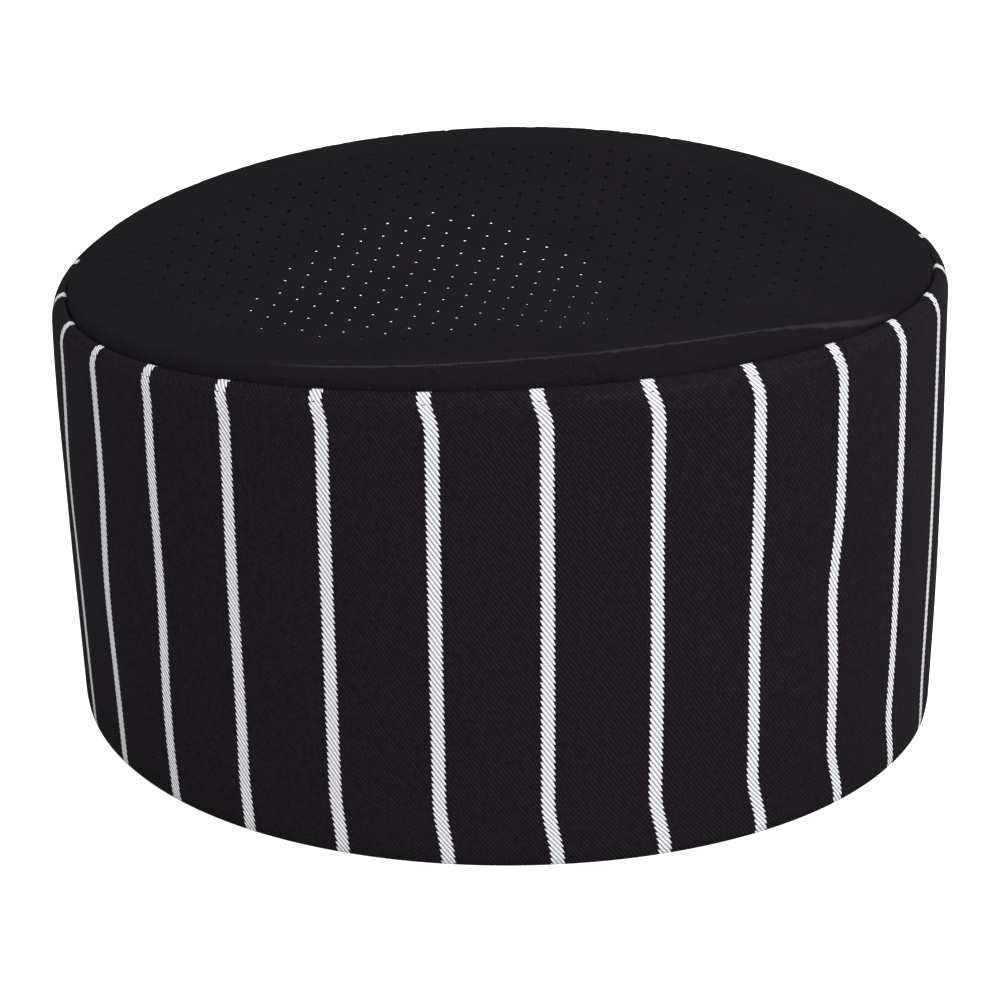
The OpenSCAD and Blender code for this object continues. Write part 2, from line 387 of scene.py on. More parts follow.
def step(tree, value, low, high):
    made = addNode(tree, "ShaderNodeMapRange", {"Value": value, "From Min": low, "From Max": high},
                   interpolation_type="SMOOTHSTEP")
    return made.outputs[0]


def mix(tree, share, a, b):
    return addNode(tree, "ShaderNodeMix", {0: share, 6: a, 7: b}, data_type="RGBA").outputs[2]


def finish(tree, shader, color, height, depth):  # gives a cloth its colour and its relief
    relief = addNode(tree, "ShaderNodeBump", {"Height": height, "Distance": depth})
    give(tree, shader.inputs["Base Color"], color)
    give(tree, shader.inputs["Normal"], relief.outputs[0])


twill = {
    "stripeCount": 26,
    "stripeOffset": -8.8 * mm,  # the nearest stripe to the middle of the front
    "stripeWidth": 2.55 * mm,
    "ribPitch": 1.3 * mm,  # along a stripe
    "ribLean": 1.35,  # how far a diagonal rib drops for each step to the right
    "stepDepth": 0.45 * mm,  # how far the ribs notch a stripe's edges
    "yarnPitch": 0.42 * mm,
    "ground": (0.0098, 0.0074, 0.0102),
    "rib": (0.0185, 0.0145, 0.0194),
    "white": (0.88, 0.88, 0.90),
    "grey": (0.34, 0.34, 0.38),
}


def makeTwill():
    material, tree, shader = newMaterial("pinstripeTwill", twill["ground"], 0.85, 0.03)
    u, v = clothPlace(tree)
    wobble = noise(tree, 260.0)
    ribs = calc(tree, "MULTIPLY_ADD", u, twill["ribLean"], v)
    ribs = calc(tree, "MULTIPLY_ADD", wobble, 0.35 * mm, ribs)
    rib = wave(tree, ribs, twill["ribPitch"])
    pitch = 2 * halfRound / twill["stripeCount"]
    turns = calc(tree, "DIVIDE", calc(tree, "SUBTRACT", u, twill["stripeOffset"] - pitch / 2), pitch)
    across = calc(tree, "MULTIPLY_ADD", calc(tree, "FRACT", turns), pitch, -pitch / 2)
    stepped = calc(tree, "MULTIPLY_ADD", rib, -twill["stepDepth"], calc(tree, "ABSOLUTE", across))
    halfWide = (twill["stripeWidth"] - twill["stepDepth"]) / 2
    stripe = step(tree, stepped, halfWide + 0.1 * mm, halfWide - 0.1 * mm)
    fleck = noise(tree, 900.0)
    grain = calc(tree, "MULTIPLY", step(tree, rib, 0.3, 1.0), step(tree, fleck, 0.3, 0.62))
    dark = mix(tree, grain, twill["ground"], twill["rib"])
    white = mix(tree, step(tree, rib, 0.62, 0.18), twill["white"], twill["grey"])
    yarn = wave(tree, calc(tree, "SUBTRACT", v, calc(tree, "MULTIPLY", u, 0.5)), twill["yarnPitch"])
    height = calc(tree, "MULTIPLY_ADD", yarn, 0.3, rib)
    height = calc(tree, "MULTIPLY_ADD", stripe, 0.3, height)
    finish(tree, shader, mix(tree, stripe, dark, white), height, 0.09 * mm)
    return material


def makeWeave(name, dark, light, pitch, roughness=0.9, specular=0.04, ribs=0.0, depth=0.08 * mm):
    # plain cloth: crossing yarns, or upright ribs where ribs is 1
    material, tree, shader = newMaterial(name, dark, roughness, specular)
    u, v = clothPlace(tree)
    warp = wave(tree, u, pitch)
    weft = wave(tree, v, pitch)
    crossing = calc(tree, "MULTIPLY", warp, weft)
    cloth = calc(tree, "MULTIPLY_ADD", crossing, 1 - ribs, calc(tree, "MULTIPLY", warp, ribs))
    shade = calc(tree, "MULTIPLY_ADD", noise(tree, 420.0), 0.5, calc(tree, "MULTIPLY", cloth, 0.7))
    finish(tree, shader, mix(tree, shade, dark, light), cloth, depth)
    return material


def makeThread(name, dark, light):
    material, tree, shader = newMaterial(name, dark, 0.6, 0.12)
    place = addNode(tree, "ShaderNodeTexCoord")
    ply = addNode(tree, "ShaderNodeTexWave",
                  {"Vector": place.outputs["Object"], "Scale": 900.0, "Distortion": 1.5})
    finish(tree, shader, mix(tree, ply.outputs[1], dark, light), ply.outputs[1], 0.03 * mm)
    return material


def makeFuzz(name, dark, light, roughness, specular, scale):
    material, tree, shader = newMaterial(name, dark, roughness, specular, sheen=0.15)
    grain = noise(tree, scale, 3.0)
    finish(tree, shader, mix(tree, grain, dark, light), grain, 0.06 * mm)
    return material


twillCloth = makeTwill()
liningCloth = makeWeave("liningWeave", (0.007, 0.006, 0.007), (0.015, 0.013, 0.015), 0.55 * mm)
bindingCloth = makeWeave("bindingTape", (0.0095, 0.0076, 0.01), (0.0195, 0.0158, 0.0205), 0.8 * mm)
stiffener = makeFuzz("stiffener", (0.05, 0.047, 0.05), (0.09, 0.085, 0.09), 0.95, 0.1, 700.0)
ribCloth = makeWeave("sweatbandRib", (0.006, 0.006, 0.007), (0.016, 0.015, 0.017), 1.5 * mm,
                     ribs=0.8, depth=0.2 * mm)
blackThread = makeThread("blackThread", (0.008, 0.007, 0.008), (0.016, 0.014, 0.017))
paleThread = makeThread("paleThread", (0.5, 0.49, 0.47), (0.68, 0.67, 0.65))
labelCloth = makeWeave("labelSatin", (0.7, 0.69, 0.66), (0.82, 0.81, 0.79), 0.4 * mm,
                       roughness=0.5, specular=0.3, depth=0.02 * mm)
hookPlastic = makeFuzz("hookPlastic", (0.006, 0.006, 0.007), (0.012, 0.012, 0.013), 0.4, 0.4, 500.0)
loopPile = makeFuzz("loopPile", (0.007, 0.007, 0.008), (0.02, 0.019, 0.021), 0.9, 0.15, 1500.0)
print("materials made")


def openingPath(grown, straights=24, arcs=40, foot=0.0):  # (x across, z) from -X over to +X
    half, radius = halfOpening + grown, archRadius + grown
    lean = math.asin(half / radius)
    shoulder = archCentre + radius * math.cos(lean)
    up = np.linspace(foot, shoulder, straights)
    bend = np.linspace(-lean, lean, arcs)[1:-1]
    across = np.concatenate([np.full(straights, -half), radius * np.sin(bend),
                             np.full(straights, half)])
    height = np.concatenate([up, archCentre + radius * np.cos(bend), up[::-1]])
    return across, height


def fromBackAt(across, z):  # a place across the back, as a length along the band from its middle
    return np.arcsin(across / wallRadius(z)) * capRadius


band = {
    "rowStep": 2.3 * mm,
    "columnStep": 2.2 * mm,
    "archColumns": 16,
    "seamRound": 0.6 * mm,
    "allowance": 8 * mm,
    "turnUp": 14 * mm,
    "cutBack": 1.0 * mm,  # how far inside the binding's fold the cloth stops
}


def sidePath(depth):  # (radius, z) of a layer's outer face, up the side and over to the seam
    rise = np.linspace(depth, turnHeight, round(turnHeight / band["rowStep"]))
    side = np.column_stack([wallRadius(rise) - depth, rise])
    t = np.radians(np.linspace(0, 90, 9))[1:]
    inner = seamRadius + band["seamRound"]
    over = np.column_stack([
        inner + (sideRadii[2] - depth - inner) * np.cos(t),
        turnHeight + (seamHeight - turnHeight - depth) * np.sin(t),
    ])
    return np.vstack([side, over])


def twillPath():  # turn-up, hem fold, side, turned-in edge and seam allowance
    inner = depthsOf("sweatband")[0]
    fold = inner / 2
    down = np.linspace(band["turnUp"], fold, 6)
    turnUp = np.column_stack([wallRadius(down) - inner, down])
    t = np.radians(np.linspace(0, 180, 7))[1:-1]
    hem = np.column_stack([hemRadius - fold - fold * np.cos(t), fold - fold * np.sin(t)])
    side = sidePath(0)
    side = side[side[:, 1] >= fold]
    corner = band["seamRound"]
    t = np.radians(np.linspace(0, 90, 4))[1:]
    over = np.column_stack([seamRadius + corner - corner * np.sin(t),
                            seamHeight - corner + corner * np.cos(t)])
    drop = np.linspace(seamHeight - corner, seamHeight - band["allowance"], 4)[1:]
    allowance = np.column_stack([np.full(len(drop), seamRadius), drop])
    return np.vstack([turnUp, hem, side, over, allowance])


def bandColumns(grown):
    # close together over the opening, then even round the side; each with the lowest height
    # that its cloth reaches above the shoulder, and whether it stands over the opening
    half, radius = halfOpening + grown, archRadius + grown
    lean = math.asin(half / radius)
    across = radius * np.sin(np.linspace(0, lean, band["archColumns"]))
    rise = archCentre + np.sqrt(radius**2 - across**2)
    overGap = fromBackAt(across, rise)
    rest = halfRound - overGap[-1]
    beside = overGap[-1] + np.linspace(0, rest, round(rest / band["columnStep"]))[1:]
    fromBack = np.concatenate([overGap, beside])
    lowest = np.concatenate([rise, np.full(len(beside), rise[-1])])
    over = np.arange(len(fromBack)) < band["archColumns"] - 1
    x = np.concatenate([fromBack - halfRound, (halfRound - fromBack[::-1])[1:]])
    return x, np.concatenate([lowest, lowest[::-1][1:]]), np.concatenate([over, over[::-1][1:]])


def bandSheet(name, path, grown, material, inside=False):
    columns, lowest, over = bandColumns(grown)
    shoulder = lowest.min()
    radii, heights = path.T
    hem = int(heights.argmin())
    length = lengthAlong(radii, heights)
    rows = np.arange(len(heights))
    first = int(np.argmax((rows > hem) & (heights >= shoulder)))  # the first row above the shoulder
    wall = (rows >= first) & (rows <= np.argmax(heights)) & (heights <= turnHeight)
    x, z = spread(columns, heights)
    depth = spread(columns, wallRadius(heights) - radii)[1]
    up = spread(columns, length - length[hem])[1]
    share = np.where(wall, (turnHeight - heights) / (turnHeight - heights[first]), 0)
    raised = (lowest - heights[first])[:, None] * share[None, :]
    z += raised
    up += raised
    # below the shoulder, the columns beside the opening follow its straight edge
    edge = halfRound - fromBackAt(halfOpening + grown, np.minimum(z, shoulder))
    nearest = 1 - (abs(edge) - abs(x)) / (12 * mm)
    start = halfRound - fromBackAt(halfOpening + grown, shoulder)
    below = (rows < first)[None, :] & ~over[:, None]
    x += np.where(below, np.sign(x) * np.clip(nearest, 0, 1) * (edge - start), 0)
    keep = np.ones((len(columns) - 1, len(rows) - 1), bool)
    keep[np.ix_(over[:-1] | over[1:], rows[:-1] < first)] = False
    return sew(name, draftMesh(name, x, depth, z, up, keep, inside), material)


bandOuter = bandSheet("bandOuter", twillPath(), band["cutBack"], twillCloth)
thicken(bandOuter, twillThickness)
attach(bandOuter, "cap", "band_twill", "band_outer")
bandInterlining = bandSheet("bandInterlining", sidePath(twillThickness), 1.6 * band["cutBack"],
                            stiffener)
thicken(bandInterlining, interliningDepth - twillThickness - 0.05 * mm)
attach(bandInterlining, "cap", "interlining", "band_interlining")
bandLining = bandSheet("bandLining", sidePath(liningDepth), band["cutBack"], liningCloth, inside=True)
thicken(bandLining, 0.4 * mm)
attach(bandLining, "cap", "lining", "band_lining")
print("band drafted:", len(bandOuter.data.polygons), "faces")


crown = {
    "stepAcross": (4.7 * mm, 2.7 * mm),  # from one hole to its nearest ones
    "stepBack": (-3.93 * mm, 6.16 * mm),
    "turn": math.radians(-11.5),
    "start": (2.0 * mm, 1.7 * mm),
    "holeSize": (0.36 * mm, 0.66 * mm),  # half its width and half its length, front to back
    "closedHole": 0.03,  # holes shrink to this share of their size where the cloth is stretched
    "stretched": (8 * mm, 11 * mm),  # fully within the first, and fading over the second
    "crestTowards": (0.284, -0.959),
    "crestSlide": 4.6 * mm,
    "clothThickness": 0.25 * mm,
    "edgeWidth": 3.2 * mm,  # the cloth stands up inside the seam to a crest this far in
    "edgeRise": 3.3 * mm,
    "edgeWaves": [(1, 1.0, -5), (2, 0.8, 5), (3, 0.6, 15)],
    "middleRise": 1.3 * mm,
    "middleStart": 16 * mm,
    "sink": 0.3 * mm,  # how far its edge lies below the top of the band
    "slack": 0.3 * mm,
    "allowance": 6.5 * mm,
    "ground": (0.0070, 0.0061, 0.0077),
    "knit": (0.0134, 0.0117, 0.0145),
    "paintedCrestHighlight": (0.046, 0.039, 0.047),
}
crestRadius = seamRadius - crown["edgeWidth"]


def makeCrownCloth():
    material, tree, shader = newMaterial("perforatedMesh", crown["ground"], 0.9, 0.02)
    u, v = clothPlace(tree)
    knit = calc(tree, "MULTIPLY", wave(tree, u, 0.9 * mm), wave(tree, v, 0.75 * mm))
    cloud = noise(tree, 45.0, 3.0)
    shade = calc(tree, "MULTIPLY_ADD", knit, 0.55, calc(tree, "MULTIPLY", cloud, 0.6))
    cloth = mix(tree, shade, crown["ground"], crown["knit"])
    outwards = calc(tree, "SQRT", calc(tree, "MULTIPLY_ADD", u, u, calc(tree, "MULTIPLY", v, v)))
    # a painted highlight runs along the fold's crest, where light catches the fold; it fades out at
    # both ends, and runs down to the seam on the right
    aimX, aimY = crown["crestTowards"]
    ahead = calc(tree, "MULTIPLY_ADD", u, aimX, calc(tree, "MULTIPLY", v, aimY))
    beside = calc(tree, "MULTIPLY_ADD", u, -aimY, calc(tree, "MULTIPLY", v, aimX))
    slide = step(tree, calc(tree, "DIVIDE", beside, outwards), 0.3, 0.76)
    crestAt = calc(tree, "MULTIPLY_ADD", slide, crown["crestSlide"], crestRadius)
    away = calc(tree, "ABSOLUTE", calc(tree, "SUBTRACT", outwards, crestAt))
    # painted highlight: a thin lighter line along the crest of the fold
    crest = calc(tree, "MULTIPLY", step(tree, away, 0.8 * mm, 0.2 * mm), cloud)
    crest = calc(tree, "MULTIPLY", crest,
                 step(tree, calc(tree, "DIVIDE", ahead, outwards), 0.62, 0.88))
    finish(tree, shader, mix(tree, crest, cloth, crown["paintedCrestHighlight"]), knit, 0.07 * mm)
    return material


def crownTile():  # one cell of the perforated cloth, round its hole
    a = np.array(crown["stepAcross"])
    b = np.array(crown["stepBack"])
    corners = [(a + b) / 2, (b - a) / 2, -(a + b) / 2, (a - b) / 2]
    edge = []
    for i in range(4):
        for share in (0, 1 / 3, 2 / 3):
            edge.append(corners[i] * (1 - share) + corners[(i + 1) % 4] * share)
    edge = np.array(edge)
    around = np.arctan2(edge[:, 1], edge[:, 0])
    hole = crown["holeSize"] * np.column_stack([np.cos(around), np.sin(around)])
    rings = [hole, hole * 0.6 + edge * 0.4, edge]
    points = np.vstack(rings)
    points = np.column_stack([points, np.zeros(len(points))])
    count = len(edge)
    faces = []
    for ring in range(len(rings) - 1):
        for i in range(count):
            j = (i + 1) % count
            faces.append((ring * count + i, (ring + 1) * count + i,
                          (ring + 1) * count + j, ring * count + j))
    mesh = bpy.data.meshes.new("crownTile")
    mesh.from_pydata(points.tolist(), [], faces)
    return mesh


def makeLatticeTree():  # repeats a tile on a slanted lattice, out to a radius
    tree, given = newTree("perforatedCloth", ["Cells", "Reach", "Join gap"],
                          ["Step across", "Step back", "Start"])
    size = calc(tree, "SUBTRACT", given["Cells"], 1.0)
    count = addNode(tree, "FunctionNodeFloatToInt", {0: given["Cells"]}).outputs[0]
    grid = addNode(tree, "GeometryNodeMeshGrid", {"Size X": size, "Size Y": size,
                                                  "Vertices X": count, "Vertices Y": count})
    cell = addNode(tree, "GeometryNodeInputPosition")
    parts = addNode(tree, "ShaderNodeSeparateXYZ", {0: cell.outputs[0]}).outputs
    across = addNode(tree, "ShaderNodeVectorMath",
                     {0: given["Step across"], "Scale": parts[0]}, operation="SCALE")
    back = addNode(tree, "ShaderNodeVectorMath",
                   {0: given["Step back"], "Scale": parts[1]}, operation="SCALE")
    both = addNode(tree, "ShaderNodeVectorMath", {0: across.outputs[0], 1: back.outputs[0]})
    spot = addNode(tree, "ShaderNodeVectorMath", {0: both.outputs[0], 1: given["Start"]})
    laid = addNode(tree, "GeometryNodeSetPosition",
                   {"Geometry": grid.outputs[0], "Position": spot.outputs[0]})
    place = addNode(tree, "GeometryNodeInputPosition")
    length = addNode(tree, "ShaderNodeVectorMath", {0: place.outputs[0]}, operation="LENGTH")
    far = calc(tree, "GREATER_THAN", length.outputs["Value"], given["Reach"])
    kept = addNode(tree, "GeometryNodeDeleteGeometry",
                   {"Geometry": laid.outputs[0], "Selection": far})
    copies = addNode(tree, "GeometryNodeInstanceOnPoints",
                     {"Points": kept.outputs[0], "Instance": given["Geometry"]})
    real = addNode(tree, "GeometryNodeRealizeInstances", {"Geometry": copies.outputs[0]})
    joined = addNode(tree, "GeometryNodeMergeByDistance",
                     {"Geometry": real.outputs[0], "Distance": given["Join gap"]})
    endTree(tree, given, joined.outputs[0])
    return tree


def shrinkHoles(points):  # near the seam the cloth is stretched, and its holes close up
    steps = np.array([crown["stepAcross"], crown["stepBack"]])
    centres = np.round((points[:, :2] - crown["start"]) @ np.linalg.inv(steps)) @ steps
    centres += crown["start"]
    offset = points[:, :2] - centres
    onHole = np.hypot(*(offset / crown["holeSize"]).T) < 1.02
    tight, fade = crown["stretched"]
    loose = smooth((crestRadius - tight - np.hypot(*centres.T)) / fade)
    size = np.where(onHole, crown["closedHole"] + (1 - crown["closedHole"]) * loose, 1)
    return centres + offset * size[:, None]


def crownPlace(points):  # lays the flat cloth over the top of the head and down inside the seam
    x, y = shrinkHoles(points).T
    wide, seam = crown["edgeWidth"], seamRadius - 0.06 * mm
    flatRadius = np.hypot(x, y)
    angle = np.arctan2(x, -y) + crown["turn"]
    bend = math.pi / 2 * math.sqrt((wide**2 + crown["edgeRise"]**2) / 2)  # length of its edge
    fromSeam = seam - wide + bend - flatRadius
    share = np.clip(flatRadius / (seam - wide), 0, 1)
    rise = crown["edgeRise"] + waves(crown["edgeWaves"], angle, share)
    t = np.clip(fromSeam / bend, 0, 1) * math.pi / 2
    radius = np.where(fromSeam < bend, seam - wide * (1 - np.cos(t)), flatRadius)
    z = seamHeight - crown["sink"] + rise * np.sin(t) ** 0.8 + np.minimum(fromSeam, 0)
    z += crown["middleRise"] * smooth((fromSeam - bend) / crown["middleStart"])
    x, y = radius * np.sin(angle), -radius * np.cos(angle)
    slack = crown["slack"] * smooth(fromSeam / (30 * mm))
    z += slack * np.sin(x / (13 * mm) + 1) * np.sin(y / (17 * mm) + x / (40 * mm))
    return np.column_stack([x, y, z])


lattice = {
    "Cells": 61.0, "Reach": seamRadius + crown["allowance"], "Join gap": 0.02 * mm,
    "Step across": (*crown["stepAcross"], 0), "Step back": (*crown["stepBack"], 0),
    "Start": (*crown["start"], 0),
}
crownMesh = grow("crownMesh", crownTile(), makeLatticeTree(), lattice, makeCrownCloth())
mapCloth(crownMesh.data, meshPoints(crownMesh.data)[:, :2])
movePoints(crownMesh.data, lambda points: settle(crownPlace(points)))
crownMesh.data.shade_smooth()
thicken(crownMesh, crown["clothThickness"])
attach(crownMesh, "cap", "crown_mesh", "crown_mesh")
print("crown laid:", len(crownMesh.data.polygons), "faces")


def rollPoints(points):  # the roll tree's rule, for the paths that stitches follow
    x, depth, z = np.asarray(points, float).T
    angle, radius = x / capRadius, wallRadius(z) - depth
    return np.column_stack([radius * np.sin(angle), -radius * np.cos(angle), z])


def makeStitchTree():  # lays short rounded stitches end to end along a line
    sizes = ["Pitch", "Stitch length", "Thread width"]
    tree, given = newTree("stitchRow", sizes)
    line = addNode(tree, "GeometryNodeMeshToCurve", {0: given["Geometry"]})
    marks = addNode(tree, "GeometryNodeResampleCurve",
                    {"Curve": line.outputs[0], "Length": given["Pitch"]}, mode="LENGTH")
    bead = addNode(tree, "GeometryNodeMeshUVSphere", {"Segments": 6, "Rings": 5, "Radius": 1.0})
    tangent = addNode(tree, "GeometryNodeInputTangent")
    turn = addNode(tree, "FunctionNodeAlignRotationToVector", {"Vector": tangent.outputs[0]},
                   axis="X")
    longHalf = calc(tree, "MULTIPLY", given["Stitch length"], 0.5)
    wideHalf = calc(tree, "MULTIPLY", given["Thread width"], 0.5)
    size = addNode(tree, "ShaderNodeCombineXYZ", {0: longHalf, 1: wideHalf, 2: wideHalf})
    copies = addNode(tree, "GeometryNodeInstanceOnPoints", {
        "Points": marks.outputs[0], "Instance": bead.outputs[0],
        "Rotation": turn.outputs[0], "Scale": size.outputs[0],
    })
    endTree(tree, given, copies.outputs[0])
    return tree


stitchTree = makeStitchTree()
seam = {"Pitch": 2.6 * mm, "Stitch length": 2.3 * mm, "Thread width": 0.42 * mm}
tack = {"Pitch": 0.7 * mm, "Stitch length": 0.95 * mm, "Thread width": 0.4 * mm}
fine = {"Pitch": 1.9 * mm, "Stitch length": 1.6 * mm, "Thread width": 0.3 * mm}


def stitchRow(name, points, sizes=seam, material=None, closed=False):
    points = np.asarray(points, float)
    mesh = bpy.data.meshes.new(name)
    edges = [(i, i + 1) for i in range(len(points) - 1)]
    if closed:
        edges.append((len(points) - 1, 0))
    mesh.from_pydata(points.tolist(), edges, [])
    obj = grow(name, mesh, stitchTree, sizes, material or blackThread)
    obj.data.shade_smooth()
    return obj


def layRow(x, depth, z):  # a drafted row, laid on the head
    return settle(rollPoints(np.column_stack(np.broadcast_arrays(x, depth, z))))


def frameRow(x0, x1, z0, z1, depth, corner=0.0, count=30):
    # a rectangle of stitches; its corners at x1 may be round, and its depth may vary with x
    pull = corner if x1 > x0 else -corner
    t = np.radians(np.linspace(0, 90, 9))
    x = np.concatenate([np.linspace(x0, x1 - pull, count), x1 - pull * (1 - np.sin(t)),
                        x1 - pull * (1 - np.cos(t)), np.linspace(x1 - pull, x0, count),
                        np.full(count, x0)])
    z = np.concatenate([np.full(count, z0), z0 + corner * (1 - np.cos(t)),
                        z1 - corner * (1 - np.sin(t)), np.full(count, z1),
                        np.linspace(z1, z0, count)])
    return layRow(x, depth(x) if callable(depth) else depth, z)


def middle(pair):
    return (pair[0] + pair[1]) / 2


around = np.linspace(-halfRound, halfRound, 300)[:-1]
edgeDepth = middle(depthsOf("crown_edge_stitch")) + 0.12 * mm  # pulled into the cloth
edgeRing = layRow(around, edgeDepth, middle(heightsOf("crown_edge_stitch")))
crownEdgeStitch = stitchRow("crownEdgeStitch", edgeRing, fine, closed=True)
attach(crownEdgeStitch, "cap", "thread", "crown_edge_stitch")


# the tape folded round the seam allowance
seamTape = {"thickness": 0.35 * mm, "step": 2.4 * mm, "short": 2 * mm}


def ringSheet(name, radii, heights, material, spacing):
    columns = np.linspace(-halfRound, halfRound, round(2 * halfRound / spacing))
    x, z = spread(columns, heights)
    up = spread(columns, lengthAlong(radii, heights))[1]
    return sew(name, draftMesh(name, x, wallRadius(z) - radii, z, up), material)


def makeSeamTape():
    tapeLow, tapeHigh = heightsOf("crown_seam_tape")
    inner = seamRadius - 1.5 * crown["clothThickness"] - seamTape["thickness"]
    outer = seamRadius + twillThickness + 1.3 * seamTape["thickness"]
    fold, centre = (outer - inner) / 2, (outer + inner) / 2
    t = np.radians(np.linspace(0, 180, 8))
    bend = np.column_stack([centre - fold * np.cos(t), tapeLow + fold - fold * np.sin(t)])
    down = np.linspace(tapeHigh, tapeLow + fold, 4)[:-1]
    up = np.linspace(tapeLow + fold, tapeHigh - seamTape["short"], 3)[1:]
    path = np.vstack([np.column_stack([np.full(len(down), inner), down]), bend,
                      np.column_stack([np.full(len(up), outer), up])])
    tape = ringSheet("crownSeamTape", path[:, 0], path[:, 1], bindingCloth, seamTape["step"])
    thicken(tape, seamTape["thickness"])
    height = middle(heightsOf("crown_tape_stitch"))
    ring = layRow(around, wallRadius(height) - inner, height)
    return tape, stitchRow("crownTapeStitch", ring, closed=True)


crownSeamTape, crownTapeStitch = makeSeamTape()
attach(crownSeamTape, "cap", "binding_tape", "crown_seam_tape")
attach(crownTapeStitch, "cap", "thread", "crown_tape_stitch")
print("seam taped")


# the sweatband: a soft strip, fullest in the middle of its height
sweat = {"step": 2.4 * mm, "fullness": 0.25, "endRound": 2.5 * mm, "endPinch": 0.85}


def closeShell(obj):  # fills open ends and turns every face outwards
    shell = bmesh.new()
    shell.from_mesh(obj.data)
    bmesh.ops.holes_fill(shell, edges=[e for e in shell.edges if e.is_boundary])
    bmesh.ops.recalc_face_normals(shell, faces=shell.faces)
    shell.to_mesh(obj.data)
    shell.free()


def makeSweatband():
    p = pointsOf("sweatband")
    end = float(abs(np.arctan2(p[:, 0], -p[:, 1])).max()) * capRadius
    low, high = heightsOf("sweatband")
    outer, inner = depthsOf("sweatband")
    t = np.linspace(0, 2 * math.pi, 33)[:-1]
    tall = (high - low) / 2
    rise = np.sign(np.sin(t)) * abs(np.sin(t)) ** 0.9 * tall
    bulge = np.sign(np.cos(t)) * abs(np.cos(t)) ** 0.35
    full = 1.0 + sweat["fullness"] * np.cos(rise / tall * math.pi / 2)
    deep = np.where(bulge > 0, full, 1.0)
    thickness = (inner - outer) / 2
    columns = np.linspace(-end, end, round(2 * end / sweat["step"]))
    nearEnd = np.clip(1 - (end - abs(columns)) / sweat["endRound"], 0, 1)
    ends = 1 - sweat["endPinch"] * nearEnd**2
    x, z = spread(columns, (low + high) / 2 + rise)
    depth = (outer + inner) / 2 + thickness * (bulge * deep)[None, :] * ends[:, None]
    up = spread(columns, tall + rise)[1]
    draft = draftMesh("sweatbandStrip", x, depth, z, up, wrap=True)
    strip = sew("sweatbandStrip", draft, ribCloth)
    closeShell(strip)
    attach(strip, "cap", "sweatband", "sweatband")
    along = np.linspace(2 * mm - end, end - 2 * mm, 200)
    for name, node in (("sweatbandStitchUpper", "sweatband_stitch_upper"),
                       ("sweatbandStitchLower", "sweatband_stitch_lower")):
        row = layRow(along, inner + 0.05 * mm, middle(heightsOf(node)))
        attach(stitchRow(name, row), "cap", "thread", node)
    return strip


sweatband = makeSweatband()
print("sweatband sewn in")


# the binding round the opening
binding = {
    "thickness": 0.35 * mm,
    "proud": 0.3 * mm,
    "foot": 0.7 * mm,  # its ends stop this far above the hem
    "stitchIn": 1 * mm,
    "tackTurns": 13,
}


def bindingDraft():
    outer, inner = -binding["proud"], liningDepth + binding["proud"]
    t = np.radians(np.linspace(-90, 90, 7))
    fold = (inner - outer) / 2
    leg = np.linspace(bindingWidth, fold, 4)[:-1]
    grown = np.concatenate([leg, fold - fold * np.cos(t), leg[::-1]])
    depth = np.concatenate([np.full(3, outer), (outer + inner) / 2 + fold * np.sin(t),
                            np.full(3, inner)])
    across, z = np.stack([openingPath(g, foot=binding["foot"]) for g in grown], -1)
    # the cloth's own length runs along the binding
    places = spread(lengthAlong(across[:, 0], z[:, 0]), lengthAlong(grown, depth))
    return halfRound - fromBackAt(across, z), spread(z[:, 0], depth)[1], z, places


def makeBinding():
    x, depth, z, places = bindingDraft()
    mesh = draftMesh("openingBinding", x, depth, z, places[1])
    mapCloth(mesh, np.stack(places, -1).reshape(-1, 2))
    tape = sew("openingBinding", mesh, bindingCloth)
    thicken(tape, binding["thickness"])
    across, height = openingPath(bindingWidth - binding["stitchIn"], 60, 80)
    clear = height >= strapHigh + 2 * mm
    across, height = across[clear], height[clear]
    line = layRow(halfRound - fromBackAt(across, height), -binding["proud"], height)
    return tape, stitchRow("openingBindingStitch", line)


strapLow, strapHigh = heightsOf("strap_outer")
openingBinding, openingBindingStitch = makeBinding()
attach(openingBinding, "cap", "binding_tape", "opening_binding")
attach(openingBindingStitch, "cap", "thread", "opening_binding_stitch")


def makeBartack(name, node, depth):
    start, end = spanOf(node)
    low, high = heightsOf(node)
    turns = binding["tackTurns"]
    x = np.where(np.arange(turns) % 2 == 0, start, end)
    line = np.column_stack([x, np.full(turns, depth), np.linspace(low, high, turns)])
    line = np.vstack([np.linspace(line[i], line[i + 1], 6)[:-1] for i in range(turns - 1)])
    attach(stitchRow(name, layRow(*line.T), tack), "cap", "thread", node)


makeBartack("bartackLeft", "bartack_left", -binding["proud"] - 0.1 * mm)
makeBartack("bartackRight", "bartack_right", liningDepth + binding["proud"] + 0.1 * mm)
print("opening bound")


strap = {
    "thickness": 0.9 * mm,
    "cornerRound": 9 * mm,
    "edgeRound": 0.25 * mm,
    "step": 2.0 * mm,
    "tuckIn": 3.5 * mm,  # how far the inner strap runs on under the binding
    "stitchIn": 2.0 * mm,
}


def strapSheet(name, root, tip, low, high, depth, material, inside=False):
    # a strip with rounded corners at its tip; root and tip are lengths along the band
    corner = strap["cornerRound"]
    sign = 1 if tip > root else -1
    body = np.linspace(root, tip - sign * corner, round((abs(tip - root) - corner) / strap["step"]))
    t = np.radians(np.linspace(0, 90, 9))[1:]
    columns = np.concatenate([body, tip - sign * corner * (1 - np.sin(t))])
    pull = np.concatenate([np.zeros(len(body)), corner * (1 - np.cos(t))])
    rows = np.linspace(0, 1, round((high - low) / strap["step"]))
    x, share = spread(columns, rows)
    z = low + pull[:, None] + (high - low - 2 * pull)[:, None] * share
    away = depth(x) if callable(depth) else np.full(x.shape, depth)
    mesh = draftMesh(name, x, away, z, z, inside=inside != (sign < 0))
    obj = sew(name, mesh, material)
    thicken(obj, strap["thickness"], strap["edgeRound"])
    return obj


